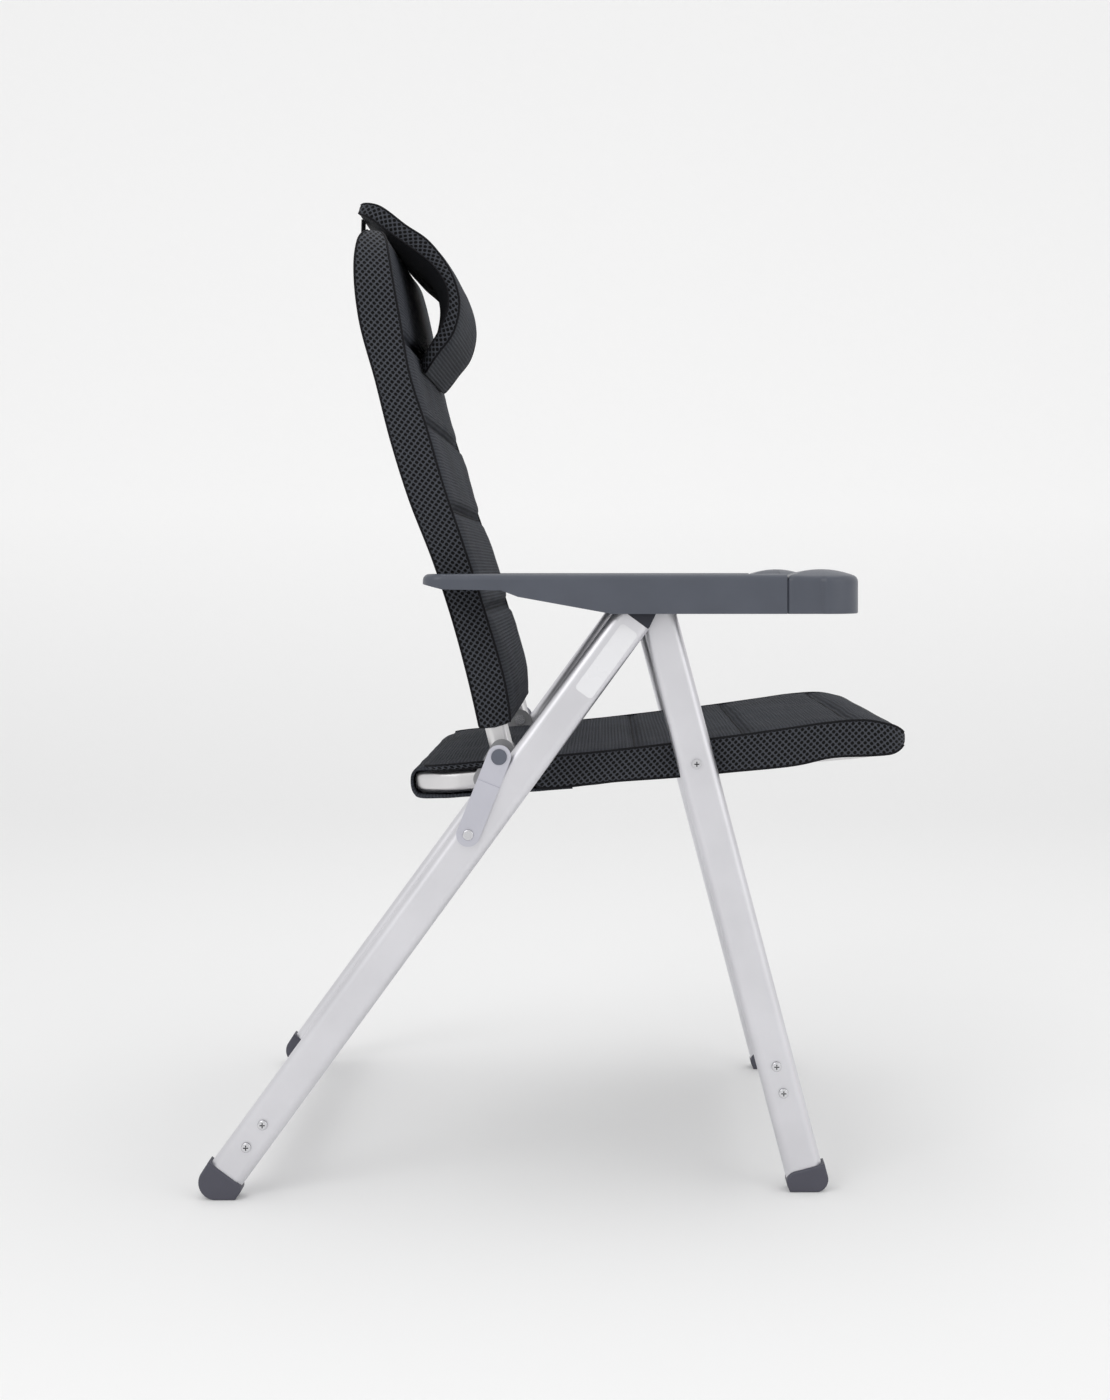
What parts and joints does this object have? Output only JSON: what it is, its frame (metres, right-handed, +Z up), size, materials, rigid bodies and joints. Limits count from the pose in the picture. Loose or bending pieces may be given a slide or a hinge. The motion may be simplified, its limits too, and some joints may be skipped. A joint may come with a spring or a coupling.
{
  "type": "folding camp chair",
  "caption": "High-back padded folding camp chair with oval aluminium legs, sliding armrests and a padded headrest.",
  "frame": {"origin": "centre of the bounding box on the floor, under the feet", "axes": "+X to the front, the way the sitter faces; +Y to the sitter's left; +Z up"},
  "size_m": [0.7891, 0.6536, 1.1189],
  "materials": {
    "tube_aluminium": "satin",
    "rail_aluminium": "satin",
    "link_steel": "satin",
    "bracket_steel": "satin",
    "screw_steel": "satin",
    "foot_plastic": "matte",
    "fitting_plastic": "matte",
    "arm_plastic": "satin",
    "cap_plastic": "satin",
    "pad_fabric": "matte",
    "strap_fabric": "matte"
  },
  "bodies": {
    "front_frame": {"front_leg_left": "tube_aluminium", "front_leg_right": "tube_aluminium", "front_foot_left": "foot_plastic", "front_foot_right": "foot_plastic", "front_leg_fitting_left": "fitting_plastic", "front_leg_fitting_right": "fitting_plastic", "front_crossbar": "tube_aluminium", "front_crossbar_plugs": "foot_plastic", "front_crossbar_screws": "screw_steel", "seat_pivot_screws": "screw_steel", "seat_pivot_bushes": "fitting_plastic", "arm_axle_left": "screw_steel", "arm_axle_right": "screw_steel"},
    "rear_frame": {"rear_leg_left": "tube_aluminium", "rear_leg_right": "tube_aluminium", "rear_foot_left": "foot_plastic", "rear_foot_right": "foot_plastic", "rear_leg_fitting_left": "fitting_plastic", "rear_leg_fitting_right": "fitting_plastic", "rear_crossbar": "tube_aluminium", "rear_crossbar_plugs": "foot_plastic", "rear_crossbar_screws": "screw_steel"},
    "seat": {"seat_frame": "rail_aluminium", "seat_pad": "pad_fabric", "seat_bracket_rivets": "screw_steel", "seat_bracket_left": "bracket_steel", "seat_bracket_right": "bracket_steel"},
    "links": {"link_left": "link_steel", "link_right": "link_steel", "link_rivet_left": "screw_steel", "link_rivet_right": "screw_steel"},
    "back_pivots": {"back_pivot_axle_left": "screw_steel", "back_pivot_axle_right": "screw_steel", "back_pivot_spacer_left": "fitting_plastic", "back_pivot_spacer_right": "fitting_plastic", "back_pivot_cap_left": "cap_plastic", "back_pivot_cap_right": "cap_plastic"},
    "back": {"back_frame": "rail_aluminium", "back_lower_bar": "rail_aluminium", "back_pad": "pad_fabric"},
    "arm_pivots": {"arm_pivot_bolt_left": "screw_steel", "arm_pivot_bolt_right": "screw_steel", "arm_pivot_spacer_left": "fitting_plastic", "arm_pivot_spacer_right": "fitting_plastic"},
    "armrests": {"armrest_left": "arm_plastic", "armrest_right": "arm_plastic", "armrest_rack_left": "arm_plastic", "armrest_rack_right": "arm_plastic", "armrest_knob_left": "arm_plastic", "armrest_knob_right": "arm_plastic"},
    "headrest": {"headrest_pad": "pad_fabric", "headrest_straps": "strap_fabric", "headrest_hooks": "arm_plastic"}
  },
  "joints": [
    {"name": "fold", "type": "hinge", "parent": "front_frame", "child": "seat", "pos_m": [0.1498, 0, 0.4724], "axis": [0, -1, 0], "range_deg": [0, 78.28]},
    {"name": "rear_leg_fold", "type": "hinge", "parent": "front_frame", "child": "rear_frame", "pos_m": [0.0998, 0, 0.662], "axis": [0, -1, 0], "range_deg": [0, 46]},
    {"name": "link_fold", "type": "hinge", "parent": "seat", "child": "links", "pos_m": [-0.0668, 0, 0.4831], "axis": [0, -1, 0], "range_deg": [0, 86.29]},
    {"name": "back_pivot_fold", "type": "hinge", "parent": "seat", "child": "back_pivots", "pos_m": [-0.0668, 0, 0.4831], "axis": [0, -1, 0], "range_deg": [-78.28, 0]},
    {"name": "back_recline", "type": "hinge", "parent": "back_pivots", "child": "back", "pos_m": [-0.0668, 0, 0.4831], "axis": [0, -1, 0], "range_deg": [0, 36]},
    {"name": "arm_pivot_fold", "type": "hinge", "parent": "back", "child": "arm_pivots", "pos_m": [-0.1168, 0, 0.6727], "axis": [0, -1, 0], "range_deg": [0, 78.28]},
    {"name": "armrest_tilt", "type": "hinge", "parent": "arm_pivots", "child": "armrests", "pos_m": [-0.1168, 0, 0.6727], "axis": [0, -1, 0], "range_deg": [-23.4, 0]},
    {"name": "headrest_height", "type": "slide", "parent": "back", "child": "headrest", "axis": [-0.124, 0, 0.9923], "range_m": [0, 0.06]}
  ],
  "couplings": [
    {"joint": "rear_leg_fold", "follows": "fold", "ratio": 0.5876},
    {"joint": "link_fold", "follows": "fold", "ratio": 1.1023},
    {"joint": "back_pivot_fold", "follows": "fold", "ratio": -1},
    {"joint": "arm_pivot_fold", "follows": "fold", "ratio": 1},
    {"joint": "armrest_tilt", "follows": "back_recline", "ratio": -0.6498}
  ]
}
